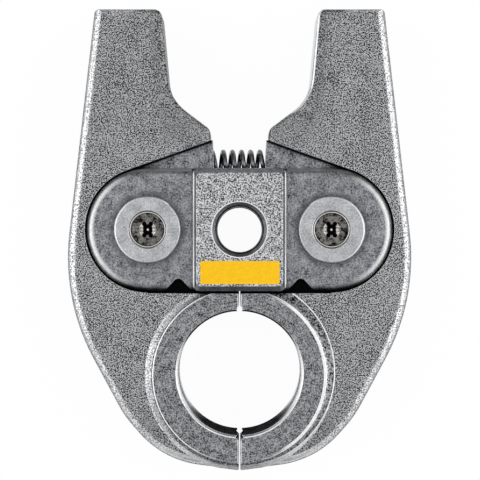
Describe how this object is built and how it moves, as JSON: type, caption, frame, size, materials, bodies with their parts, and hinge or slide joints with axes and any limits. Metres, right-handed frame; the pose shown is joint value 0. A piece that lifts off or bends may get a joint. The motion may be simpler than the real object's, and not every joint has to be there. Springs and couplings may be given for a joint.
{
  "type": "press fitting tool jaw",
  "caption": "Scissor jaw that presses pipe fittings: forged levers with split ring dies, hung on pivot pins between link plates and sprung shut.",
  "frame": {"origin": "centre of the retaining bolt's bore, halfway between the two link plates", "axes": "+Y along the drive arms, +Z out of the front face along the bolt bore, +X to the right"},
  "size_m": [0.0918, 0.123, 0.028],
  "materials": {
    "forged_steel": "shot-blasted forging",
    "ground_steel": "ground and tumbled",
    "pin_steel": "ground",
    "washer_steel": "fine turned",
    "blackened_steel": "black oxide",
    "spring_steel": "drawn wire"
  },
  "bodies": {
    "carrier": {"front_link_plate": "ground_steel", "back_link_plate": "ground_steel", "left_pivot_pin": "pin_steel", "right_pivot_pin": "pin_steel", "left_front_washer": "washer_steel", "left_back_washer": "washer_steel", "right_front_washer": "washer_steel", "right_back_washer": "washer_steel", "left_front_screw": "blackened_steel", "left_back_screw": "blackened_steel", "right_front_screw": "blackened_steel", "right_back_screw": "blackened_steel", "return_spring": "spring_steel"},
    "left_lever": {"left_jaw_lever": "forged_steel"},
    "right_lever": {"right_jaw_lever": "forged_steel"}
  },
  "joints": [
    {"name": "left_pivot", "type": "hinge", "parent": "carrier", "child": "left_lever", "pos_m": [-0.0245, 0, 0], "axis": [0, 0, -1], "range_deg": [0, 17], "stiffness_Nm_per_rad": 1.2, "springref_deg": -20.05, "deforming": ["return_spring"]},
    {"name": "right_pivot", "type": "hinge", "parent": "carrier", "child": "right_lever", "pos_m": [0.0245, 0, 0], "axis": [0, 0, 1], "range_deg": [0, 17], "stiffness_Nm_per_rad": 1.2, "springref_deg": -20.05, "deforming": ["return_spring"]}
  ]
}
